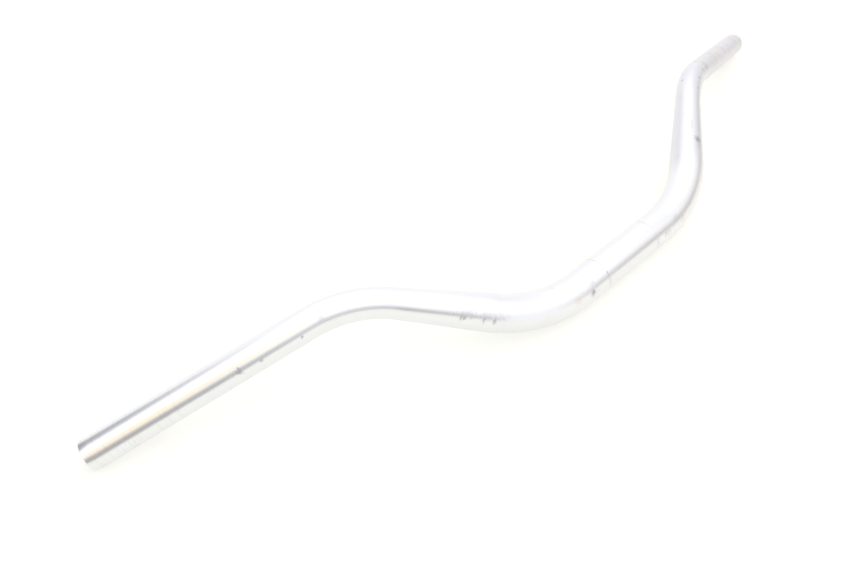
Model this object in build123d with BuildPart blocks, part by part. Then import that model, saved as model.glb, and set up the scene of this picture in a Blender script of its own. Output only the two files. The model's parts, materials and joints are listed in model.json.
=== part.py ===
from build123d import *
import os
from math import cos, radians, sin

# A tapered motorcycle handlebar with a damped weight in each end.
#
# It lies as it rests on a bench: on the underside of its clamp seat and on both grip ends.
# Origin: centre of the clamp seat. +X runs to the rider's left grip, +Y from the clamp
# towards the grips, +Z up. Millimetres and degrees.

# ---- Tube: driving dimensions ----
WIDTH = 770.0  # between the centres of the two end faces
SEAT_DIAMETER = 28.6  # the clamp seat, 1 1/8 inch
SEAT_BORE = 20.0
GRIP_DIAMETER = 22.2  # both grips, 7/8 inch
GRIP_BORE = 14.0
INNER_CORNER_X = 94.0  # where the seat's axis meets the rise's axis
OUTER_CORNER_X = 206.0  # where the rise's axis meets the grip's axis
OUTER_CORNER_Y = 80.0
GRIP_DROOP = 13.5  # fall of each grip towards its end
GRIP_HEADING = 13.5  # turn of each grip from X towards +Y, seen from above
INNER_BEND_RADIUS = 120.0
OUTER_BEND_RADIUS = 93.0
RIM_CHAMFER = 0.6
CLIP_HOLE_DIAMETER = 6.0  # takes the nub of the weight's clip
CLIP_HOLE_DEPTH = 36.0  # from the end face to the hole's centre

# ---- Inner weight: driving dimensions, depths measured in from the tube's end face ----
WEIGHT_DIAMETER = 12.0
WEIGHT_START = 6.0
WEIGHT_LENGTH = 100.0
NECK_DIAMETER = 9.2
NECK_LENGTH = 12.0
WEIGHT_CHAMFER = 0.8
GROOVE_DIAMETER = 9.0
GROOVE_WIDTH = 10.0
GROOVE_STARTS = {"outer": 48.0, "inner": 90.0}
THREAD_DIAMETER = 6.8  # tapping size of M8
THREAD_DEPTH = 30.0
THREAD_MOUTH_DIAMETER = 8.4

# ---- Rubber cushions and the clip ----
CUSHION_GAP = 0.02  # beside the groove's floor and the bore, radially
CUSHION_SIDE_GAP = 0.2
CUSHION_EDGE_RADIUS = 0.8
CLIP_THICKNESS = 0.8
CLIP_START = 7.0
CLIP_SLEEVE_LENGTH = 10.0
CLIP_SLEEVE_GAP = 0.05  # round the neck
CLIP_SLEEVE_WRAP = 300.0
TONGUE_GAP = 0.1  # between the tongue and the bore
TONGUE_START = 9.0
TONGUE_END = 40.0
TONGUE_WRAP = 40.0
NUB_DIAMETER = 5.0
NUB_EDGE_RADIUS = 1.0
NUB_SINK = 0.5  # from the nub's tip to the tube's outside

os.makedirs("parts", exist_ok=True)

# ---- The centreline of the +X half ----
droop = radians(GRIP_DROOP)
heading = radians(GRIP_HEADING)
grip_direction = Vector(cos(droop) * cos(heading), cos(droop) * sin(heading), -sin(droop))
grip_run = (WIDTH / 2 - OUTER_CORNER_X) / grip_direction.X
# The lowest points of the seat and of the chamfered end rims lie on one level surface.
bench_height = -SEAT_DIAMETER / 2
end_height = bench_height + GRIP_DIAMETER / 2 * cos(droop) - RIM_CHAMFER * sin(droop)
inner_corner = Vector(INNER_CORNER_X, 0, 0)
outer_corner = Vector(OUTER_CORNER_X, OUTER_CORNER_Y, end_height + grip_run * sin(droop))
grip_end = outer_corner + grip_direction * grip_run

with BuildLine() as centreline:
    FilletPolyline(
        (0, 0, 0),
        inner_corner,
        outer_corner,
        grip_end,
        radius=[INNER_BEND_RADIUS, OUTER_BEND_RADIUS],
    )
seat, inner_bend, rise, outer_bend, grip = centreline.edges().sort_by(Axis.X)


def tube_section(run, outside, bore):
    """The tube's cross-section at the start of a run of the centreline."""
    with BuildSketch(Plane(origin=run @ 0, z_dir=run % 0)) as section:
        Circle(outside / 2)
        Circle(bore / 2, mode=Mode.SUBTRACT)
    return section.sketch


def taper_section(run, normal):
    """Half of the tapered run's lengthwise section, on one side of its axis."""
    with BuildSketch(Plane(origin=run @ 0, x_dir=run % 0, z_dir=normal)) as section:
        with BuildLine():
            Polyline(
                (0, SEAT_BORE / 2),
                (0, SEAT_DIAMETER / 2),
                (run.length, GRIP_DIAMETER / 2),
                (run.length, GRIP_BORE / 2),
                close=True,
            )
        make_face()
    return section.sketch


def bend_axis(bend):
    """The axis that a bend turns about, in the sense that follows the centreline."""
    return Axis(bend.arc_center, (bend % 0).cross(bend % 1))


def bend_angle(bend):
    return (bend % 0).get_angle(bend % 1)


def across_and_down(direction):
    """The direction square to a grip's axis that points down."""
    level = Vector(0, 0, -1)
    return (level - direction * level.dot(direction)).normalized()


# ---- Handlebar tube: seat, bend, taper, bend and grip, mirrored ----
with BuildPart() as handlebar_tube:
    extrude(tube_section(seat, SEAT_DIAMETER, SEAT_BORE), amount=seat.length, both=True)
    revolve(
        tube_section(inner_bend, SEAT_DIAMETER, SEAT_BORE),
        bend_axis(inner_bend),
        bend_angle(inner_bend),
    )
    revolve(taper_section(rise, bend_axis(inner_bend).direction), Axis(rise @ 0, rise % 0))
    revolve(
        tube_section(outer_bend, GRIP_DIAMETER, GRIP_BORE),
        bend_axis(outer_bend),
        bend_angle(outer_bend),
    )
    extrude(tube_section(grip, GRIP_DIAMETER, GRIP_BORE), amount=grip.length)
    end_rims = handlebar_tube.edges().group_by(Axis(grip @ 0, grip % 0))[-1]
    chamfer(end_rims, RIM_CHAMFER)
    under_grip = across_and_down(grip_direction)
    hole_mouth = grip_end - grip_direction * CLIP_HOLE_DEPTH + under_grip * GRIP_DIAMETER / 2
    with Locations(Plane(origin=hole_mouth, z_dir=under_grip)):
        Hole(CLIP_HOLE_DIAMETER / 2, depth=GRIP_DIAMETER / 2)
    mirror(about=Plane.YZ)
handlebar_tube.part.label = "handlebar_tube"
export_step(handlebar_tube.part, "parts/handlebar_tube.step")


def lengthwise_profile(plane, points):
    """A closed outline of (radius, depth) points on a lengthwise plane of a grip."""
    with BuildSketch(plane) as profile:
        with BuildLine():
            Polyline(points, close=True)
        make_face()
    return profile.sketch


def block_profile(plane, radii, depths):
    """A rectangular lengthwise section between two radii and two depths."""
    (near, far), (start, end) = radii, depths
    return lengthwise_profile(plane, [(near, start), (far, start), (far, end), (near, end)])


# ---- In each end of the tube: weight, two cushions and the clip ----
for side, sign in (("left", 1), ("right", -1)):
    outward = Vector(sign * grip_direction.X, grip_direction.Y, grip_direction.Z)
    end_centre = Vector(sign * grip_end.X, grip_end.Y, grip_end.Z)
    downward = across_and_down(outward)
    grip_axis = Axis(end_centre, outward)
    # Its local X is the radius towards the ground and its local Y the depth from the end face.
    lengthwise = Plane(origin=end_centre, x_dir=downward, z_dir=outward.cross(downward))

    # Steel weight: neck for the clip, two grooves for the cushions, threaded hole in its face
    with BuildPart() as inner_weight:
        neck_end = WEIGHT_START + NECK_LENGTH
        body_end = WEIGHT_START + WEIGHT_LENGTH
        neck = block_profile(lengthwise, (0, NECK_DIAMETER / 2), (WEIGHT_START, neck_end))
        body = block_profile(lengthwise, (0, WEIGHT_DIAMETER / 2), (neck_end, body_end))
        revolve(body, grip_axis)
        body_rims = inner_weight.edges().group_by(grip_axis)
        chamfer(body_rims[0] + body_rims[-1], WEIGHT_CHAMFER)
        revolve(neck, grip_axis)
        for groove_start in GROOVE_STARTS.values():
            groove = block_profile(
                lengthwise,
                (GROOVE_DIAMETER / 2, WEIGHT_DIAMETER / 2 + 1),
                (groove_start, groove_start + GROOVE_WIDTH),
            )
            revolve(groove, grip_axis, mode=Mode.SUBTRACT)
        with Locations(Plane(origin=end_centre - outward * WEIGHT_START, z_dir=outward)):
            CounterSinkHole(THREAD_DIAMETER / 2, THREAD_MOUTH_DIAMETER / 2, depth=THREAD_DEPTH)
    inner_weight.part.label = f"{side}_inner_weight"
    export_step(inner_weight.part, f"parts/{side}_inner_weight.step")

    # Rubber cushions: rings with rounded edges that fill the space from groove to bore
    for place, groove_start in GROOVE_STARTS.items():
        with BuildPart() as cushion:
            ring = block_profile(
                lengthwise,
                (GROOVE_DIAMETER / 2 + CUSHION_GAP, GRIP_BORE / 2 - CUSHION_GAP),
                (groove_start + CUSHION_SIDE_GAP, groove_start + GROOVE_WIDTH - CUSHION_SIDE_GAP),
            )
            revolve(ring, grip_axis)
            outer_rims = cushion.edges().filter_by(GeomType.CIRCLE).sort_by(SortBy.RADIUS)[-2:]
            fillet(outer_rims, CUSHION_EDGE_RADIUS)
        cushion.part.label = f"{side}_{place}_cushion"
        export_step(cushion.part, f"parts/{side}_{place}_cushion.step")

    # Spring clip: split sleeve on the neck, tongue along the bore, nub in the tube's hole
    with BuildPart() as weight_retainer:
        sleeve_inside = NECK_DIAMETER / 2 + CLIP_SLEEVE_GAP
        sleeve_outside = sleeve_inside + CLIP_THICKNESS
        tongue_outside = GRIP_BORE / 2 - TONGUE_GAP
        tongue_inside = tongue_outside - CLIP_THICKNESS
        sleeve = block_profile(
            lengthwise,
            (sleeve_inside, sleeve_outside),
            (CLIP_START, CLIP_START + CLIP_SLEEVE_LENGTH),
        )
        tongue = lengthwise_profile(
            lengthwise,
            [
                (sleeve_inside, TONGUE_START),
                (tongue_outside, TONGUE_START),
                (tongue_outside, TONGUE_END),
                (tongue_inside, TONGUE_END),
                (tongue_inside, TONGUE_START + CLIP_THICKNESS),
                (sleeve_inside, TONGUE_START + CLIP_THICKNESS),
            ],
        )
        for half_turn in (0.5, -0.5):
            revolve(sleeve, grip_axis, half_turn * CLIP_SLEEVE_WRAP)
            revolve(tongue, grip_axis, half_turn * TONGUE_WRAP)
        nub_root = end_centre - outward * CLIP_HOLE_DEPTH + downward * tongue_inside
        with BuildSketch(Plane(origin=nub_root, z_dir=downward)):
            Circle(NUB_DIAMETER / 2)
        extrude(amount=GRIP_DIAMETER / 2 - NUB_SINK - tongue_inside)
        nub_tip = weight_retainer.edges().group_by(Axis(end_centre, downward))[-1]
        fillet(nub_tip, NUB_EDGE_RADIUS)
    weight_retainer.part.label = f"{side}_weight_retainer"
    export_step(weight_retainer.part, f"parts/{side}_weight_retainer.step")
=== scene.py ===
import json
from math import cos, pi, radians, sin

import bmesh
import bpy
import numpy as np
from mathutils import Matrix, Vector


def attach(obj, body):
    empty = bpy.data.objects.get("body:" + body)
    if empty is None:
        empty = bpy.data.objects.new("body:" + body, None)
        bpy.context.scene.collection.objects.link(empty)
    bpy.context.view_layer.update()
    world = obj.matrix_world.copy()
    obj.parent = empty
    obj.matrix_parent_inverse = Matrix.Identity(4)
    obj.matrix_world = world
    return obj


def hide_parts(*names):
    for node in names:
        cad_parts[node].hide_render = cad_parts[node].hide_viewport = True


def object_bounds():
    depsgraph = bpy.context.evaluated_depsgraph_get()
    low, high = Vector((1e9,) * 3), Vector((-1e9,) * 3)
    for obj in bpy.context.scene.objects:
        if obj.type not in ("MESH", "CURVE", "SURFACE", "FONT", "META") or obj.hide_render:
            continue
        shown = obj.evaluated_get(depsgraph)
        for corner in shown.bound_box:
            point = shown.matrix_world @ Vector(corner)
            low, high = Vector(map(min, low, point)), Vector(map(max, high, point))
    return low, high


# The looks of a used, satin aluminium handlebar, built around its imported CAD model.
#
# The tube and the two weights are rebuilt as smooth meshes from the record's mounts and the
# driving sizes below. The rubber cushions and the clips keep their CAD meshes and get materials.
# All of it is one rigid body.

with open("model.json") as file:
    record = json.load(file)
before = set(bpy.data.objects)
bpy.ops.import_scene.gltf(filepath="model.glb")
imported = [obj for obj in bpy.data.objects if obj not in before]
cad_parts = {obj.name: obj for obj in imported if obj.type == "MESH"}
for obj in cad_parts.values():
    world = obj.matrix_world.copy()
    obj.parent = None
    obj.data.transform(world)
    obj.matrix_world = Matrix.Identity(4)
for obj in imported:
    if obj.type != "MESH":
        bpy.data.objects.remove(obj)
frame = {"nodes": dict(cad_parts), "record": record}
cad_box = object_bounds()

MM = 0.001  # metres in a millimetre
BODY = "root"

# ---- Sizes of the tube that its mounts don't give ----
INNER_CORNER_X = 94 * MM  # where the seat's axis meets the rise's axis
OUTER_CORNER_X = 206 * MM  # where the rise's axis meets the grip's axis
INNER_BEND_RADIUS = 120 * MM
OUTER_BEND_RADIUS = 93 * MM
SEAT_BORE_RADIUS = 10 * MM
GRIP_BORE_RADIUS = 7 * MM
RIM_CHAMFER = 0.6 * MM
CLIP_HOLE_RADIUS = 3 * MM
CLIP_HOLE_DEPTH = 36 * MM  # from the end face to the hole's centre
CLIP_HOLE_EDGE = 0.25 * MM  # the break of the hole's sharp edge
CUTTER_INSIDE = 6 * MM  # how far the hole's cutter reaches in from the outside, past the wall
CUTTER_OUTSIDE = 2 * MM  # how far it stands out
SATIN_DEPTH = 0.8 * MM  # the satin finish reaches over the rims' chamfers

# ---- Sizes of the weights, depths measured in from the tube's end face ----
WEIGHT_RADIUS = 6 * MM
WEIGHT_START = 6 * MM
WEIGHT_LENGTH = 100 * MM
NECK_RADIUS = 4.6 * MM
NECK_LENGTH = 12 * MM
WEIGHT_CHAMFER = 0.8 * MM
GROOVE_RADIUS = 4.5 * MM
GROOVE_WIDTH = 10 * MM
GROOVE_STARTS = (48 * MM, 90 * MM)
THREAD_DEPTH = 30 * MM
THREAD_PITCH = 1.25 * MM  # M8
THREAD_HEIGHT = 0.6 * MM
THREAD_RUN_OUT = 3 * MM
THREAD_MOUTH_RADIUS = 4.2 * MM
DRILL_POINT = 0.6  # depth of the drill's cone, in radii of the hole
DRILL_TIP = 0.02  # radius of the cone's blunt tip, in radii of the hole
EDGE_BREAK = 0.12 * MM

# ---- How finely the meshes are divided ----
TUBE_SEGMENTS = 144
BEND_STEP = radians(1.0)
STRAIGHT_STEP = 6 * MM
WEIGHT_SEGMENTS = 72
THREAD_ROWS_PER_TURN = 10
SHARP_EDGE = radians(38)  # an edge that turns more than this is drawn sharp
BATCH = 2000  # points straightened at a time

mounts = {mount["name"]: mount for mount in frame["record"]["mounts"]}


def unit(vector):
    return vector / np.linalg.norm(vector)


# ---------------------------------------------------------------- the tube's centreline


def grip_line():
    """The centre of the left end face and the grip's outward direction."""
    mount = mounts["left_grip_seat"]
    outward = unit(np.array(mount["axis"]))
    half_length = mount["dims"]["length_mm"] * MM / 2
    return np.array(mount["pos_m"]) + outward * (half_length + RIM_CHAMFER), outward


def fillet(before, corner, after, radius):
    """Points and directions along the arc that rounds a corner."""
    arrive = unit(corner - before)
    leave = unit(after - corner)
    turn = np.arccos(arrive @ leave)
    inward = unit(leave - arrive)
    centre = corner + inward * radius / cos(turn / 2)
    axis = unit(np.cross(arrive, leave))
    spoke = np.cross(arrive, axis) * radius
    steps = int(np.ceil(turn / BEND_STEP))
    for step in range(steps + 1):
        angle = turn * step / steps
        across = cos(angle) * spoke + sin(angle) * np.cross(axis, spoke)
        yield centre + across, unit(np.cross(axis, across))


def straight(start, end):
    """Points and directions along a straight, without its two ends."""
    steps = int(np.ceil(np.linalg.norm(end - start) / STRAIGHT_STEP))
    for step in range(1, steps):
        yield start + (end - start) * step / steps, unit(end - start)


def centreline():
    """Along, place, direction, outside and bore radius of each ring of the tube."""
    end, outward = grip_line()
    inner_corner = np.array([INNER_CORNER_X, 0, 0])
    outer_corner = end - outward * (end[0] - OUTER_CORNER_X) / outward[0]
    inner_bend = list(fillet(np.zeros(3), inner_corner, outer_corner, INNER_BEND_RADIUS))
    outer_bend = list(fillet(inner_corner, outer_corner, end, OUTER_BEND_RADIUS))
    middle = (np.zeros(3), np.array([1.0, 0, 0]))
    stations = [middle]
    for bend in (inner_bend, outer_bend):
        stations += [*straight(stations[-1][0], bend[0][0]), *bend]
    stations += [*straight(stations[-1][0], end), (end, outward)]

    places = np.array([place for place, _ in stations])
    directions = np.array([direction for _, direction in stations])
    steps = np.linalg.norm(np.diff(places, axis=0), axis=1)
    along = np.concatenate([[0], np.cumsum(steps)])
    # The wall tapers from the end of the inner bend to the start of the outer one.
    taper_start = along[np.argmin(np.linalg.norm(places - inner_bend[-1][0], axis=1))]
    taper_end = along[np.argmin(np.linalg.norm(places - outer_bend[0][0], axis=1))]
    share = np.clip((along - taper_start) / (taper_end - taper_start), 0, 1)
    seat_radius = mounts["clamp_seat"]["dims"]["r_mm"] * MM
    grip_radius = mounts["left_grip_seat"]["dims"]["r_mm"] * MM
    outside = seat_radius + (grip_radius - seat_radius) * share
    bore = SEAT_BORE_RADIUS + (GRIP_BORE_RADIUS - SEAT_BORE_RADIUS) * share

    mirrored = slice(None, 0, -1)
    return {
        "along": np.concatenate([-along[mirrored], along]),
        "place": np.concatenate([places[mirrored] * [-1, 1, 1], places]),
        "direction": np.concatenate([directions[mirrored] * [1, -1, -1], directions]),
        "outside": np.concatenate([outside[mirrored], outside]),
        "bore": np.concatenate([bore[mirrored], bore]),
    }


def cross_frames(directions):
    """For each direction, the square direction nearest to up and the one square to both."""
    up = np.array([0, 0, 1.0]) - directions * directions[:, 2:3]
    up /= np.linalg.norm(up, axis=1)[:, None]
    return up, np.cross(directions, up)


# ---------------------------------------------------------------- mesh helpers


def ring_points(place, up, side, radius, segments):
    angles = np.arange(segments) * 2 * pi / segments
    across = np.outer(np.cos(angles), up) + np.outer(np.sin(angles), side)
    return place + across * np.reshape(radius, (-1, 1))


def mesh_of_rings(name, rings, closed):
    """A mesh of quads between rings of points; closed joins the last ring to the first."""
    segments = len(rings[0])
    points = np.concatenate(rings)
    pairs = len(rings) if closed else len(rings) - 1
    faces = []
    for ring in range(pairs):
        here = ring * segments
        there = (ring + 1) % len(rings) * segments
        for step in range(segments):
            after = (step + 1) % segments
            faces.append((here + step, here + after, there + after, there + step))
    if not closed:
        faces.append(tuple(reversed(range(segments))))
        faces.append(tuple(range(len(points) - segments, len(points))))
    mesh = bpy.data.meshes.new(name)
    mesh.from_pydata(points.tolist(), [], faces)
    fix_normals(mesh)
    return mesh


def fix_normals(mesh):
    """Turns every face of a closed mesh outwards."""
    editable = bmesh.new()
    editable.from_mesh(mesh)
    bmesh.ops.recalc_face_normals(editable, faces=editable.faces)
    editable.to_mesh(mesh)
    editable.free()


def add_object(name, mesh):
    piece = bpy.data.objects.new(name, mesh)
    bpy.context.scene.collection.objects.link(piece)
    return piece


def mesh_points(mesh):
    points = np.empty(len(mesh.vertices) * 3)
    mesh.vertices.foreach_get("co", points)
    return points.reshape(-1, 3)


def store_straightened(mesh, values):
    """Where each point would be if its piece were straight, in millimetres.

    x runs along the piece, y is up and z is across, so a material can follow the bends.
    """
    attribute = mesh.attributes.new("straightened", "FLOAT_VECTOR", "POINT")
    attribute.data.foreach_set("vector", (values / MM).astype(np.float32).ravel())


# ---------------------------------------------------------------- the tube


def tube_rings(line):
    """The outside's rings from end to end, then the bore's rings back, with softened rims."""
    up, side = cross_frames(line["direction"])
    # Depth from the end face and inset from the wall of a chamfer with softened edges.
    softening = 0.15 * MM
    rim = [
        (RIM_CHAMFER + softening, 0),
        (RIM_CHAMFER, softening * 0.2),
        (RIM_CHAMFER - softening, softening),
        (softening, RIM_CHAMFER - softening),
        (softening * 0.2, RIM_CHAMFER),
        (0, RIM_CHAMFER + softening),
    ]
    last = len(line["along"]) - 1

    def ring(index, depth, radius):
        inward = line["direction"][index] * (1 if index == 0 else -1)
        place = line["place"][index] + inward * depth
        return ring_points(place, up[index], side[index], radius, TUBE_SEGMENTS)

    def body(radii):
        return [ring(index, 0, radii[index]) for index in range(1, last)]

    def edge(index, radius, sign, order):
        return [ring(index, depth, radius + sign * inset) for depth, inset in order]

    outside, bore = line["outside"], line["bore"]
    rings = edge(0, outside[0], -1, reversed(rim)) + body(outside)
    rings += edge(last, outside[last], -1, rim)
    rings += edge(last, bore[last], 1, reversed(rim)) + list(reversed(body(bore)))
    rings += edge(0, bore[0], 1, rim)
    return rings


def clip_hole_cutter(end, outward, radius):
    """A pin with a flared end that cuts a clip's hole and breaks its edge."""
    down, side = clip_hole_directions(outward)
    centre = end - outward * CLIP_HOLE_DEPTH
    steps = [
        (radius - CUTTER_INSIDE, CLIP_HOLE_RADIUS),
        (radius - CLIP_HOLE_EDGE, CLIP_HOLE_RADIUS),
        (radius + CLIP_HOLE_EDGE, CLIP_HOLE_RADIUS + 2 * CLIP_HOLE_EDGE),
        (radius + CUTTER_OUTSIDE, CLIP_HOLE_RADIUS + 2 * CLIP_HOLE_EDGE),
    ]
    rings = [
        ring_points(centre + down * depth, outward, side, size, WEIGHT_SEGMENTS)
        for depth, size in steps
    ]
    return mesh_of_rings("clip_hole_cutter", rings, closed=False)


def clip_hole_directions(outward):
    """Down, square to the grip's axis, and across it."""
    level = np.array([0, 0, -1.0])
    down = unit(level - outward * (level @ outward))
    return down, np.cross(outward, down)


def cut(piece, cutter_mesh):
    """Takes the cutter's shape out of the piece."""
    cutter = add_object("cutter", cutter_mesh)
    modifier = piece.modifiers.new("cut", "BOOLEAN")
    modifier.operation = "DIFFERENCE"
    modifier.solver = "EXACT"
    modifier.object = cutter
    graph = bpy.context.evaluated_depsgraph_get()
    result = bpy.data.meshes.new_from_object(piece.evaluated_get(graph))
    piece.modifiers.clear()
    piece.data = result
    bpy.data.objects.remove(cutter)


def straighten(points, line):
    """Each point's place on the tube if the tube were straight, in metres."""
    up, side = cross_frames(line["direction"])
    result = np.empty_like(points)
    for start in range(0, len(points), BATCH):
        batch = points[start : start + BATCH]
        gaps = batch[:, None, :] - line["place"][None]
        nearest = np.einsum("pqr,pqr->pq", gaps, gaps).argmin(axis=1)
        offset = gaps[np.arange(len(batch)), nearest]
        ahead = np.einsum("pr,pr->p", offset, line["direction"][nearest])
        height = np.einsum("pr,pr->p", offset, up[nearest])
        across = np.einsum("pr,pr->p", offset, side[nearest])
        rows = np.stack([line["along"][nearest] + ahead, height, across], axis=1)
        result[start : start + len(batch)] = rows
    return result


def build_tube(line):
    mesh = mesh_of_rings("tube", tube_rings(line), closed=True)
    tube = add_object("handlebar_tube_satin", mesh)
    end, outward = grip_line()
    radius = line["outside"][-1]
    for sign in (1, -1):
        mirror = np.array([sign, 1, 1])
        cut(tube, clip_hole_cutter(end * mirror, outward * mirror, radius))
    mesh = tube.data
    mesh.name = "handlebar_tube_satin"
    straightened = straighten(mesh_points(mesh), line)
    store_straightened(mesh, straightened)

    # The bore, the flat of each end face and the clip holes' walls are bare metal.
    mesh.materials.clear()
    mesh.materials.append(satin_aluminium(line["along"][-1] / MM))
    mesh.materials.append(bare_aluminium())
    for face in mesh.polygons:
        corners = straightened[list(face.vertices)]
        depth = np.linalg.norm(corners[:, 1:], axis=1).min()
        wall = np.interp(abs(corners[0, 0]), line["along"], line["outside"])
        face.material_index = 0 if depth > wall - SATIN_DEPTH else 1
    mesh.shade_smooth()
    mesh.set_sharp_from_angle(angle=SHARP_EDGE)
    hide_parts("handlebar_tube")
    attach(tube, BODY)


# ---------------------------------------------------------------- the weights


def softened(profile):
    """A (depth, radius) outline with each corner cut off by a narrow bevel."""
    points = np.array(profile)
    result = [points[0]]
    for before, corner, after in zip(points, points[1:], points[2:]):
        for other in (before, after):
            reach = min(EDGE_BREAK, np.linalg.norm(other - corner) / 3)
            result.append(corner + unit(other - corner) * reach)
    return [*result, points[-1]]


def weight_outline():
    """The outside of a weight from its threaded mouth to its inner end."""
    neck_end = WEIGHT_START + NECK_LENGTH
    outline = [
        (WEIGHT_START, THREAD_MOUTH_RADIUS),
        (WEIGHT_START, NECK_RADIUS),
        (neck_end, NECK_RADIUS),
        (neck_end, WEIGHT_RADIUS - WEIGHT_CHAMFER),
        (neck_end + WEIGHT_CHAMFER, WEIGHT_RADIUS),
    ]
    for start in GROOVE_STARTS:
        end = start + GROOVE_WIDTH
        outline += [(start, WEIGHT_RADIUS), (start, GROOVE_RADIUS)]
        outline += [(end, GROOVE_RADIUS), (end, WEIGHT_RADIUS)]
    weight_end = WEIGHT_START + WEIGHT_LENGTH
    outline += [
        (weight_end - WEIGHT_CHAMFER, WEIGHT_RADIUS),
        (weight_end, WEIGHT_RADIUS - WEIGHT_CHAMFER),
        (weight_end, WEIGHT_RADIUS / 2),
    ]
    return softened(outline)


def thread_outline():
    """The threaded hole from the drill's point out to the mouth, with a radius per segment."""
    hole_radius = mounts["left_bar_end_thread"]["dims"]["r_mm"] * MM
    turns = np.arange(WEIGHT_SEGMENTS) / WEIGHT_SEGMENTS
    rows = int(THREAD_DEPTH / THREAD_PITCH * THREAD_ROWS_PER_TURN)
    drill_tip = WEIGHT_START + THREAD_DEPTH + hole_radius * DRILL_POINT
    outline = [(drill_tip, hole_radius * DRILL_TIP)]
    for row in range(rows + 1):
        depth = THREAD_DEPTH * (1 - row / rows)
        phase = (depth / THREAD_PITCH + turns) % 1
        # A V thread's flanks, with a tenth of the pitch flat at the crest and at the root.
        ridge = np.clip(1.25 * (1 - np.abs(2 * phase - 1)) - 0.125, 0, 1)
        run_out = min(1, (THREAD_DEPTH - depth) / THREAD_RUN_OUT)
        mouth = THREAD_MOUTH_RADIUS - depth
        radii = np.maximum(hole_radius + THREAD_HEIGHT * run_out * ridge, mouth)
        outline.append((WEIGHT_START + depth, radii))
    return outline


def build_weight(side, end, outward):
    down, across = clip_hole_directions(outward)
    outline = [*thread_outline()[:-1], *weight_outline()]
    rings, unrolled = [], []
    for depth, radius in outline:
        sizes = np.broadcast_to(radius, WEIGHT_SEGMENTS)
        centre = end - outward * depth
        ring = ring_points(centre, down, across, sizes, WEIGHT_SEGMENTS)
        rings.append(ring)
        offset = ring - centre
        unrolled.append(np.stack([np.full(len(ring), depth), offset @ down, offset @ across], 1))
    mesh = mesh_of_rings(f"{side}_inner_weight_turned", rings, closed=False)
    store_straightened(mesh, np.concatenate(unrolled))
    mesh.materials.append(turned_steel(side))
    mesh.shade_smooth()
    mesh.set_sharp_from_angle(angle=SHARP_EDGE)
    weight = add_object(f"{side}_inner_weight_turned", mesh)
    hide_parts(f"{side}_inner_weight")
    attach(weight, BODY)


def build_weights():
    end, outward = grip_line()
    for side, sign in (("left", 1), ("right", -1)):
        mirror = np.array([sign, 1, 1])
        build_weight(side, end * mirror, outward * mirror)


def finish_cad_pieces():
    """Gives the cushions and the clips, which keep their CAD meshes, their materials."""
    rubber, spring = black_rubber(), spring_steel()
    for name, node in frame["nodes"].items():
        if name.endswith("cushion"):
            node.material_slots[0].material = rubber
        if name.endswith("retainer"):
            node.material_slots[0].material = spring


# ---------------------------------------------------------------- shader helpers


class Graph:
    """A short way to write the nodes of one material or of the world."""

    def __init__(self, tree):
        self.tree = tree
        tree.nodes.clear()

    def node(self, kind, *inputs, **settings):
        """A node with its settings, whose inputs are sockets, values or None to leave alone."""
        made = self.tree.nodes.new(kind)
        for name, value in settings.items():
            setattr(made, name, value)
        for socket, value in zip(made.inputs, inputs):
            self.feed(socket, value)
        return made

    def feed(self, socket, value):
        if value is None:
            return
        if isinstance(value, bpy.types.NodeSocket):
            self.tree.links.new(value, socket)
        else:
            socket.default_value = value

    def math(self, operation, first, second):
        return self.node("ShaderNodeMath", first, second, operation=operation).outputs[0]

    def vector(self, operation, first, second=None, scale=None):
        made = self.node("ShaderNodeVectorMath", operation=operation)
        self.feed(made.inputs[0], first)
        self.feed(made.inputs[1], second)
        if scale is not None:
            self.feed(made.inputs["Scale"], scale)
        return made.outputs["Value" if operation in ("DOT_PRODUCT", "LENGTH") else "Vector"]

    def smooth(self, value, start, end, low=0.0, high=1.0):
        """low up to start, high from end on, and a smooth step between them."""
        made = self.node("ShaderNodeMapRange", interpolation_type="SMOOTHSTEP")
        for name, number in (
            ("Value", value),
            ("From Min", start),
            ("From Max", end),
            ("To Min", low),
            ("To Max", high),
        ):
            self.feed(made.inputs[name], number)
        return made.outputs["Result"]

    def mix(self, factor, first, second):
        """first where factor is 0, second where it is 1, both colours."""
        made = self.node("ShaderNodeMix", data_type="RGBA")
        self.feed(made.inputs["Factor"], factor)
        self.feed(made.inputs["A"], first)
        self.feed(made.inputs["B"], second)
        return made.outputs["Result"]

    def noise(self, place, scale, detail=2.0, roughness=0.5):
        """Soft noise between 0 and 1; scale is in waves to a millimetre of place."""
        made = self.node("ShaderNodeTexNoise")
        self.feed(made.inputs["Vector"], place)
        made.inputs["Scale"].default_value = scale
        made.inputs["Detail"].default_value = detail
        made.inputs["Roughness"].default_value = roughness
        return made.outputs["Fac"]

    def bump(self, shader, height, depth):
        """Relief on the shader; height is 0 to 1 and depth is what 1 stands for in metres."""
        made = self.node("ShaderNodeBump")
        made.inputs["Distance"].default_value = depth
        self.feed(made.inputs["Height"], height)
        self.feed(shader.inputs["Normal"], made.outputs["Normal"])

    def combine(self, x, y, z):
        return self.node("ShaderNodeCombineXYZ", x, y, z).outputs[0]

    def split(self, vector):
        """The x, y and z of a vector."""
        return self.node("ShaderNodeSeparateXYZ", vector).outputs[:]


# ---------------------------------------------------------------- materials


def new_surface(name):
    material = bpy.data.materials.new(name)
    material.use_nodes = True
    graph = Graph(material.node_tree)
    shader = graph.node("ShaderNodeBsdfPrincipled")
    output = graph.node("ShaderNodeOutputMaterial")
    graph.feed(output.inputs["Surface"], shader.outputs[0])
    return material, graph, shader


def straightened_place(graph):
    made = graph.node("ShaderNodeAttribute", attribute_name="straightened")
    return made.outputs["Vector"]


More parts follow.
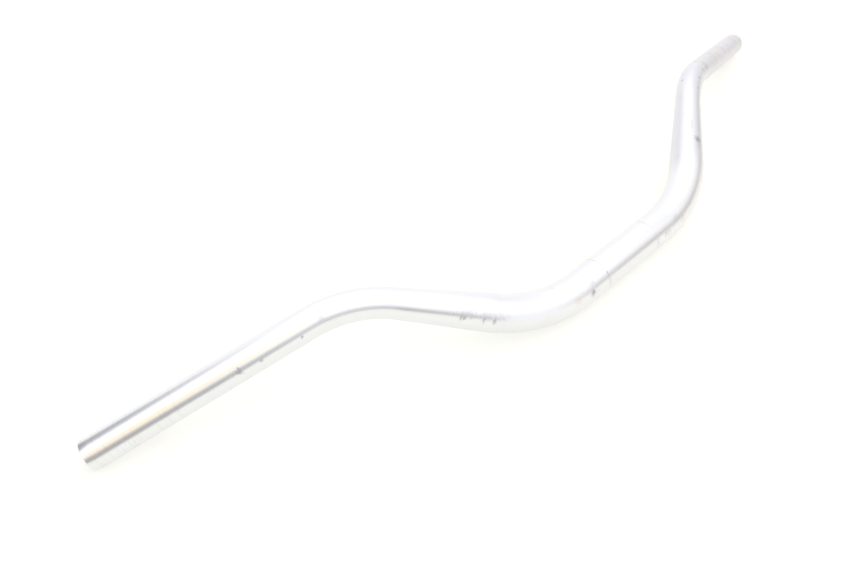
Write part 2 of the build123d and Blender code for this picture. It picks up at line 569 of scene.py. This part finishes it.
# ---- Wear on the satin outside, placed by what caused it ----
AROUND = 13.0  # mm to a radian round the tube, near enough at every diameter
SCATTER_SEED = 4  # of the marks that are strewn at random
SEAT_END = 52  # mm from the middle of the seat to where the inner bend starts
CLAMP_EDGE = 32  # mm from the middle of the seat to each edge of the clamp's print
RISE = (133, 203)  # mm from the middle of the seat to the two ends of the tapered rise
OUTER_BEND_END = 263  # mm from the middle of the seat to the start of the grip's straight
GRIP_LENGTH = 158  # mm of the grip's straight


def strewn(chance, count, alongs, angles, half_along, half_around):
    """Marks of uneven size at random places on a patch of the tube."""
    marks = []
    for _ in range(count):
        size = chance.uniform(0.7, 1.2)
        place = (chance.uniform(*alongs), chance.uniform(*angles))
        marks.append((*place, half_along * size, half_around * size))
    return marks


def wear(half_length):
    """The groups of marks: tint, how much it hides, how soft its edges are, how they break up.

    A mark is an oval: its place along the tube in mm from the middle of the seat, with the
    rider's left positive, its angle in degrees from the top, with the side away from the grips
    positive, and its half sizes along and round the tube in mm.
    """
    chance = np.random.default_rng(SCATTER_SEED)
    left_end, right_end = half_length, -half_length
    stains, scuffs, rings, nicks, chips = [], [], [], [], []
    # The clamp printed an arc at each of its edges and rubbed the metal below and beside it.
    for side in (-1, 1):
        edge = side * CLAMP_EDGE
        rings.append((edge, -15, 0.5, 7))
        scuffs.append((edge, 70, 1.5, 4))
        beside = sorted((edge + side * 10, edge + side * 30))
        scuffs += strewn(chance, 2, beside, (20, 70), 3, 2)
        stains.append((edge + side * 35, 60, 2.5, 2.5))
    # Two dots were punched at its right edge and two, further round, beside its left one.
    nicks += [(-CLAMP_EDGE, angle, 0.6, 0.8) for angle in (40, 50)]
    nicks += [(CLAMP_EDGE + 10, angle, 0.6, 0.8) for angle in (60, 70)]
    # The bar was knocked where the seat ends, and on the way up the left rise.
    chips.append((-SEAT_END, 65, 2, 2))
    chips.append((RISE[0] + 20, 30, 3, 3))
    scuffs.append((RISE[0] + 15, 35, 4, 2.5))
    scuffs.append((sum(RISE) / 2, 5, 4.5, 0.7))
    # Lever perch and grip left rings on the left grip, and a rubbed patch where the bend starts.
    for share in (1 / 6, 1 / 2, 3 / 4, 1):
        rings.append((left_end - GRIP_LENGTH * share, 15, 0.8, 10))
    scuffs.append((OUTER_BEND_END, 40, 5, 5))
    stains.append((OUTER_BEND_END - 10, 50, 5, 3))
    stains.append((OUTER_BEND_END + GRIP_LENGTH / 3, 30, 4, 4))
    # Something hard was dragged across the foot of the right rise, in strokes that end in nicks.
    for along in chance.uniform(-RISE[0] - 40, -RISE[0], 4):
        scuffs.append((along + 2, 55, 5, 2.5))
        nicks.append((along, 70, 1, 2))
    # The right grip has one deep chip, two thirds of the way up it, and small knocks beyond.
    chips.append((right_end + GRIP_LENGTH * 2 / 3, 60, 2, 2.5))
    beyond = (right_end + 110, right_end + 190)
    scuffs += strewn(chance, 2, beyond, (30, 50), 2, 2)
    nicks += strewn(chance, 2, beyond, (60, 70), 1, 1.5)
    # The left outer bend stuck out and caught the most nicks, some of them behind its top.
    bend = (RISE[1], OUTER_BEND_END)
    nicks += strewn(chance, 5, bend, (30, 50), 1.2, 1.2)
    nicks += strewn(chance, 2, bend, (-50, -20), 1.2, 1.2)
    scuffs += strewn(chance, 1, bend, (-60, -30), 1.8, 2)
    return (
        (stains, (0.70, 0.54, 0.34, 1), 0.28, 0.8, "crumbled"),
        (scuffs, (0.46, 0.42, 0.50, 1), 0.25, 0.6, "brushed"),
        (rings, (0.40, 0.38, 0.43, 1), 0.36, 0.45, "crumbled"),
        (nicks, (0.30, 0.29, 0.32, 1), 0.50, 0.4, "crumbled"),
        (chips, (0.30, 0.29, 0.32, 1), 0.68, 0.45, "crumbled"),
    )


def unrolled_place(graph, place):
    """Along and round the tube in mm, as a flat place."""
    along, up, across = graph.split(place)
    around = graph.math("MULTIPLY", graph.math("ARCTAN2", across, up), AROUND)
    return graph.combine(along, around, 0)


def marked(graph, flat, marks, ragged, softness):
    """1 inside any of the marks and 0 outside them, with edges broken up by ragged."""
    nearest = None
    for along, angle, half_along, half_around in marks:
        centred = graph.node(
            "ShaderNodeVectorMath",
            flat,
            (1 / half_along, 1 / half_around, 0),
            (-along / half_along, -radians(angle) * AROUND / half_around, 0),
            operation="MULTIPLY_ADD",
        )
        distance = graph.vector("LENGTH", centred.outputs[0])
        nearest = distance if nearest is None else graph.math("MINIMUM", nearest, distance)
    return graph.smooth(graph.math("ADD", nearest, ragged), 1 - softness, 1 + softness, 1, 0)


def stretched_noise(graph, place, stretch, scale, detail=2.0):
    return graph.noise(graph.vector("MULTIPLY", place, stretch), scale, detail)


def satin_aluminium(half_length):
    material, graph, shader = new_surface("satin_aluminium_outside")
    place = straightened_place(graph)
    flat = unrolled_place(graph, place)
    along = graph.split(place)[0]

    # Blasted and anodised metal: a cloudy tone, faint lines from drawing and a fine grain
    cloud = graph.noise(place, 0.05, detail=3)
    lines = stretched_noise(graph, place, (0.015, 1, 1), 1.3, detail=3)
    grain = graph.noise(place, 1.7, detail=2)
    colour = graph.mix(cloud, (0.79, 0.80, 0.81, 1), (0.83, 0.83, 0.84, 1))
    colour = graph.mix(graph.smooth(lines, 0.4, 0.7, 0, 0.06), colour, (0.72, 0.72, 0.74, 1))
    roughness = graph.smooth(lines, 0.3, 0.7, 0.25, 0.27)

    # The left side is rougher from the seat on and greyer from the end of the inner bend on
    colour = graph.mix(graph.smooth(along, 105, 150, 0, 0.75), colour, (0.72, 0.72, 0.75, 1))
    roughness = graph.math("ADD", roughness, graph.smooth(along, 20, 140, 0, 0.11))

    # The left grip is dull, with a film of old glue in patches
    film = graph.smooth(graph.noise(place, 0.16, detail=5, roughness=0.65), 0.36, 0.62)
    dull = graph.smooth(along, 240, 300)
    filmed = graph.math("MULTIPLY", dull, graph.smooth(film, 0, 1, 0.45, 1))
    yellowish, pinkish = (0.67, 0.67, 0.63, 1), (0.70, 0.66, 0.715, 1)
    stain = graph.mix(graph.smooth(cloud, 0.35, 0.65), yellowish, pinkish)
    colour = graph.mix(graph.math("MULTIPLY", filmed, 0.7), colour, stain)
    roughness = graph.math("ADD", roughness, graph.math("MULTIPLY", filmed, 0.06))

    # The throttle tube turned on the right grip and left fine rings round it
    turned = stretched_noise(graph, place, (1, 0.04, 0.04), 0.8)
    under_throttle = graph.smooth(along, 30 - half_length, 145 - half_length, 0.15, 0)
    rubbed = graph.math("MULTIPLY", graph.smooth(turned, 0.5, 0.7), under_throttle)
    colour = graph.mix(rubbed, colour, (0.55, 0.55, 0.53, 1))

    # Scattered hair scratches and pits all along
    swirl = graph.noise(place, 0.02, detail=1)
    bent = graph.combine(graph.math("MULTIPLY", swirl, 160), 0, 0)
    hair_place = graph.vector("ADD", place, bent)
    hairs = graph.noise(graph.vector("MULTIPLY", hair_place, (1.1, 0.07, 0.07)), 1.6, detail=3)
    patches = graph.smooth(graph.noise(place, 0.03, detail=2), 0.5, 0.64)
    scratched = graph.math("MULTIPLY", graph.smooth(hairs, 0.62, 0.68), patches)
    cells = graph.node("ShaderNodeTexVoronoi", feature="F1")
    graph.feed(cells.inputs["Vector"], place)
    cells.inputs["Scale"].default_value = 0.11
    chosen = graph.smooth(graph.split(cells.outputs["Color"])[0], 0.86, 1.0, 0, 0.075)
    pit_depth = graph.math("SUBTRACT", chosen, cells.outputs["Distance"])
    pitted = graph.smooth(pit_depth, -0.012, 0.012)
    worn = graph.math("MAXIMUM", graph.math("MULTIPLY", scratched, 0.5), pitted)
    colour = graph.mix(graph.math("MULTIPLY", worn, 0.35), colour, (0.38, 0.37, 0.40, 1))

    # The marks that stand out one by one, with crumbled edges or brushed round the tube
    crumbs = graph.noise(place, 0.8, detail=3)
    bristles = stretched_noise(graph, place, (1, 0.2, 0.2), 1.5)
    breaks = {
        "crumbled": graph.smooth(crumbs, 0.2, 0.8, -0.7, 0.7),
        "brushed": graph.smooth(bristles, 0.3, 0.7, -0.8, 0.8),
    }
    dirty = 0.0
    for marks, tint, hidden, softness, edge in wear(half_length):
        cover = marked(graph, flat, marks, breaks[edge], softness)
        cover = graph.math("MULTIPLY", cover, hidden)
        colour = graph.mix(cover, colour, tint)
        dirty = graph.math("MAXIMUM", cover, dirty)
    graph.feed(shader.inputs["Base Color"], colour)
    graph.feed(shader.inputs["Metallic"], graph.smooth(dirty, 0, 1, 1, 0.75))
    graph.feed(
        shader.inputs["Roughness"],
        graph.math("ADD", roughness, graph.math("MULTIPLY", dirty, 0.2)),
    )
    relief = graph.math("SUBTRACT", graph.math("MULTIPLY", grain, 0.10), dirty)
    relief = graph.math("SUBTRACT", relief, graph.math("MULTIPLY", worn, 0.5))
    graph.bump(shader, relief, 0.03 * MM)
    return material


def bare_aluminium():
    material, graph, shader = new_surface("bare_aluminium_bore")
    place = straightened_place(graph)
    drawn = stretched_noise(graph, place, (0.02, 1, 1), 2.0, detail=3)
    blotch = graph.noise(place, 0.25, detail=4)
    colour = graph.mix(drawn, (0.50, 0.50, 0.51, 1), (0.68, 0.68, 0.69, 1))
    colour = graph.mix(graph.smooth(blotch, 0.5, 0.75, 0, 0.6), colour, (0.30, 0.27, 0.24, 1))
    graph.feed(shader.inputs["Base Color"], colour)
    shader.inputs["Metallic"].default_value = 1.0
    graph.feed(shader.inputs["Roughness"], graph.smooth(blotch, 0.35, 0.7, 0.28, 0.5))
    graph.bump(shader, drawn, 0.02 * MM)
    return material


def turned_steel(side):
    """Zinc-plated steel with the fine rings that a lathe leaves, on its ends too."""
    material, graph, shader = new_surface(f"turned_steel_{side}")
    place = straightened_place(graph)
    depth, down, across = graph.split(place)
    radius = graph.vector("LENGTH", graph.combine(0, down, across))
    cut_path = graph.math("SUBTRACT", depth, radius)
    turned = graph.noise(graph.combine(cut_path, 0, 0), 4.5, detail=2)
    cloud = graph.noise(place, 0.35, detail=4)
    colour = graph.mix(cloud, (0.66, 0.65, 0.60, 1), (0.56, 0.55, 0.49, 1))
    colour = graph.mix(graph.smooth(cloud, 0.58, 0.75, 0, 0.7), colour, (0.33, 0.27, 0.20, 1))
    graph.feed(shader.inputs["Base Color"], colour)
    shader.inputs["Metallic"].default_value = 1.0
    graph.feed(shader.inputs["Roughness"], graph.smooth(cloud, 0.3, 0.7, 0.26, 0.45))
    graph.bump(shader, turned, 0.03 * MM)
    return material


def object_place(graph):
    """The place on a CAD piece in millimetres."""
    place = graph.node("ShaderNodeTexCoord").outputs["Object"]
    return graph.vector("SCALE", place, scale=1 / MM)


def black_rubber():
    material, graph, shader = new_surface("black_rubber_moulded")
    place = object_place(graph)
    grain = graph.noise(place, 2.5, detail=3)
    bloom = graph.noise(place, 0.3, detail=4)
    black, dusty = (0.022, 0.022, 0.023, 1), (0.07, 0.07, 0.068, 1)
    colour = graph.mix(graph.smooth(bloom, 0.4, 0.7), black, dusty)
    graph.feed(shader.inputs["Base Color"], colour)
    graph.feed(shader.inputs["Roughness"], graph.smooth(bloom, 0.35, 0.7, 0.5, 0.75))
    graph.bump(shader, grain, 0.04 * MM)
    return material


def spring_steel():
    material, graph, shader = new_surface("spring_steel_pressed")
    place = object_place(graph)
    cloud = graph.noise(place, 0.35, detail=4)
    rubbed = graph.noise(place, 3.0, detail=2)
    colour = graph.mix(cloud, (0.40, 0.40, 0.43, 1), (0.50, 0.49, 0.48, 1))
    colour = graph.mix(graph.smooth(cloud, 0.56, 0.72, 0, 0.8), colour, (0.27, 0.20, 0.15, 1))
    graph.feed(shader.inputs["Base Color"], colour)
    shader.inputs["Metallic"].default_value = 1.0
    graph.feed(shader.inputs["Roughness"], graph.smooth(rubbed, 0.3, 0.7, 0.3, 0.45))
    graph.bump(shader, rubbed, 0.02 * MM)
    return material


# ---------------------------------------------------------------- the studio

CAMERA_PLACE = (-0.3966, -0.1974, 0.3923)
CAMERA_HEADING = 46.25  # degrees from +X towards +Y
CAMERA_DIP = 45.65  # degrees below the horizon
CAMERA_LENS = 30.3  # mm on a 36 mm sensor

FLOOR_RADIUS = 14.0  # metres, so its edge is never in view
FLOOR_SEGMENTS = 96
FLOOR_LEVEL = cad_box[0].z

WALLS = (1.15, 1.15, 1.20, 1)
ROOF = (1.45, 1.45, 1.45, 1)
ROOF_START, ROOF_FULL = sin(radians(15)), sin(radians(55))  # the walls fade into the roof
BACKGROUND = (1.05, 1.05, 1.05, 1)  # what the camera sees of the tent itself


def add_floor():
    disc = bpy.data.meshes.new("studio_floor")
    editable = bmesh.new()
    bmesh.ops.create_circle(editable, cap_ends=True, segments=FLOOR_SEGMENTS, radius=FLOOR_RADIUS)
    editable.to_mesh(disc)
    editable.free()
    floor = add_object("studio_floor", disc)
    floor.location.z = FLOOR_LEVEL
    material, _, shader = new_surface("studio_floor")
    shader.inputs["Base Color"].default_value = (0.45, 0.45, 0.43, 1)
    shader.inputs["Roughness"].default_value = 0.9
    shader.inputs["Specular IOR Level"].default_value = 0.1
    # It glows a little, as an overexposed light table does, which keeps the shadows faint.
    shader.inputs["Emission Color"].default_value = (1.0, 1.0, 0.96, 1)
    shader.inputs["Emission Strength"].default_value = 0.58
    disc.materials.append(material)


def heading_and_height(heading, height):
    """The direction that points to a heading from +X and a height above the horizon."""
    turn, climb = radians(heading), radians(height)
    return (cos(climb) * cos(turn), cos(climb) * sin(turn), sin(climb))


# What stands in the tent's wall: heading, height, full out to, gone from (degrees), colour.
# A later one covers an earlier one.
IN_THE_WALL = (
    (-5, 20, 10, 35, (1.00, 1.00, 1.02, 1)),  # the shaded right wall
    (-140, 45, 5, 20, (1.40, 1.10, 0.80, 1)),  # a warm lamp, in front on the left
    (-130, 5, 15, 35, (0.45, 0.44, 0.43, 1)),  # the opening that the camera looks through
    (125, 25, 15, 35, (0.42, 0.42, 0.45, 1)),  # the opening at the left
    (-30, -10, 20, 40, (0.66, 0.61, 0.57, 1)),  # the folded corner at the right
)


def add_tent():
    """A white light tent, brightest overhead."""
    world = bpy.data.worlds.new("light_tent")
    world.use_nodes = True
    bpy.context.scene.world = world
    graph = Graph(world.node_tree)
    direction = graph.node("ShaderNodeTexCoord").outputs["Generated"]
    height = graph.split(direction)[2]
    light = graph.mix(graph.smooth(height, ROOF_START, ROOF_FULL), WALLS, ROOF)
    for heading, climb, core, edge, colour in IN_THE_WALL:
        cosine = graph.vector("DOT_PRODUCT", direction, heading_and_height(heading, climb))
        cover = graph.smooth(cosine, cos(radians(edge)), cos(radians(core)))
        light = graph.mix(cover, light, colour)
    seen = graph.node("ShaderNodeLightPath").outputs["Is Camera Ray"]
    background = graph.node("ShaderNodeBackground", graph.mix(seen, light, BACKGROUND))
    output = graph.node("ShaderNodeOutputWorld")
    graph.feed(output.inputs["Surface"], background.outputs[0])


def add_camera():
    data = bpy.data.cameras.new("camera")
    data.lens = CAMERA_LENS
    camera = bpy.data.objects.new("camera", data)
    bpy.context.scene.collection.objects.link(camera)
    camera.location = CAMERA_PLACE
    forward = Vector(heading_and_height(CAMERA_HEADING, -CAMERA_DIP))
    camera.rotation_mode = "QUATERNION"
    camera.rotation_quaternion = forward.to_track_quat("-Z", "Y")
    bpy.context.scene.camera = camera


line = centreline()
build_tube(line)
build_weights()
finish_cad_pieces()
add_floor()
add_tent()
add_camera()
bpy.context.scene.view_settings.view_transform = "Standard"
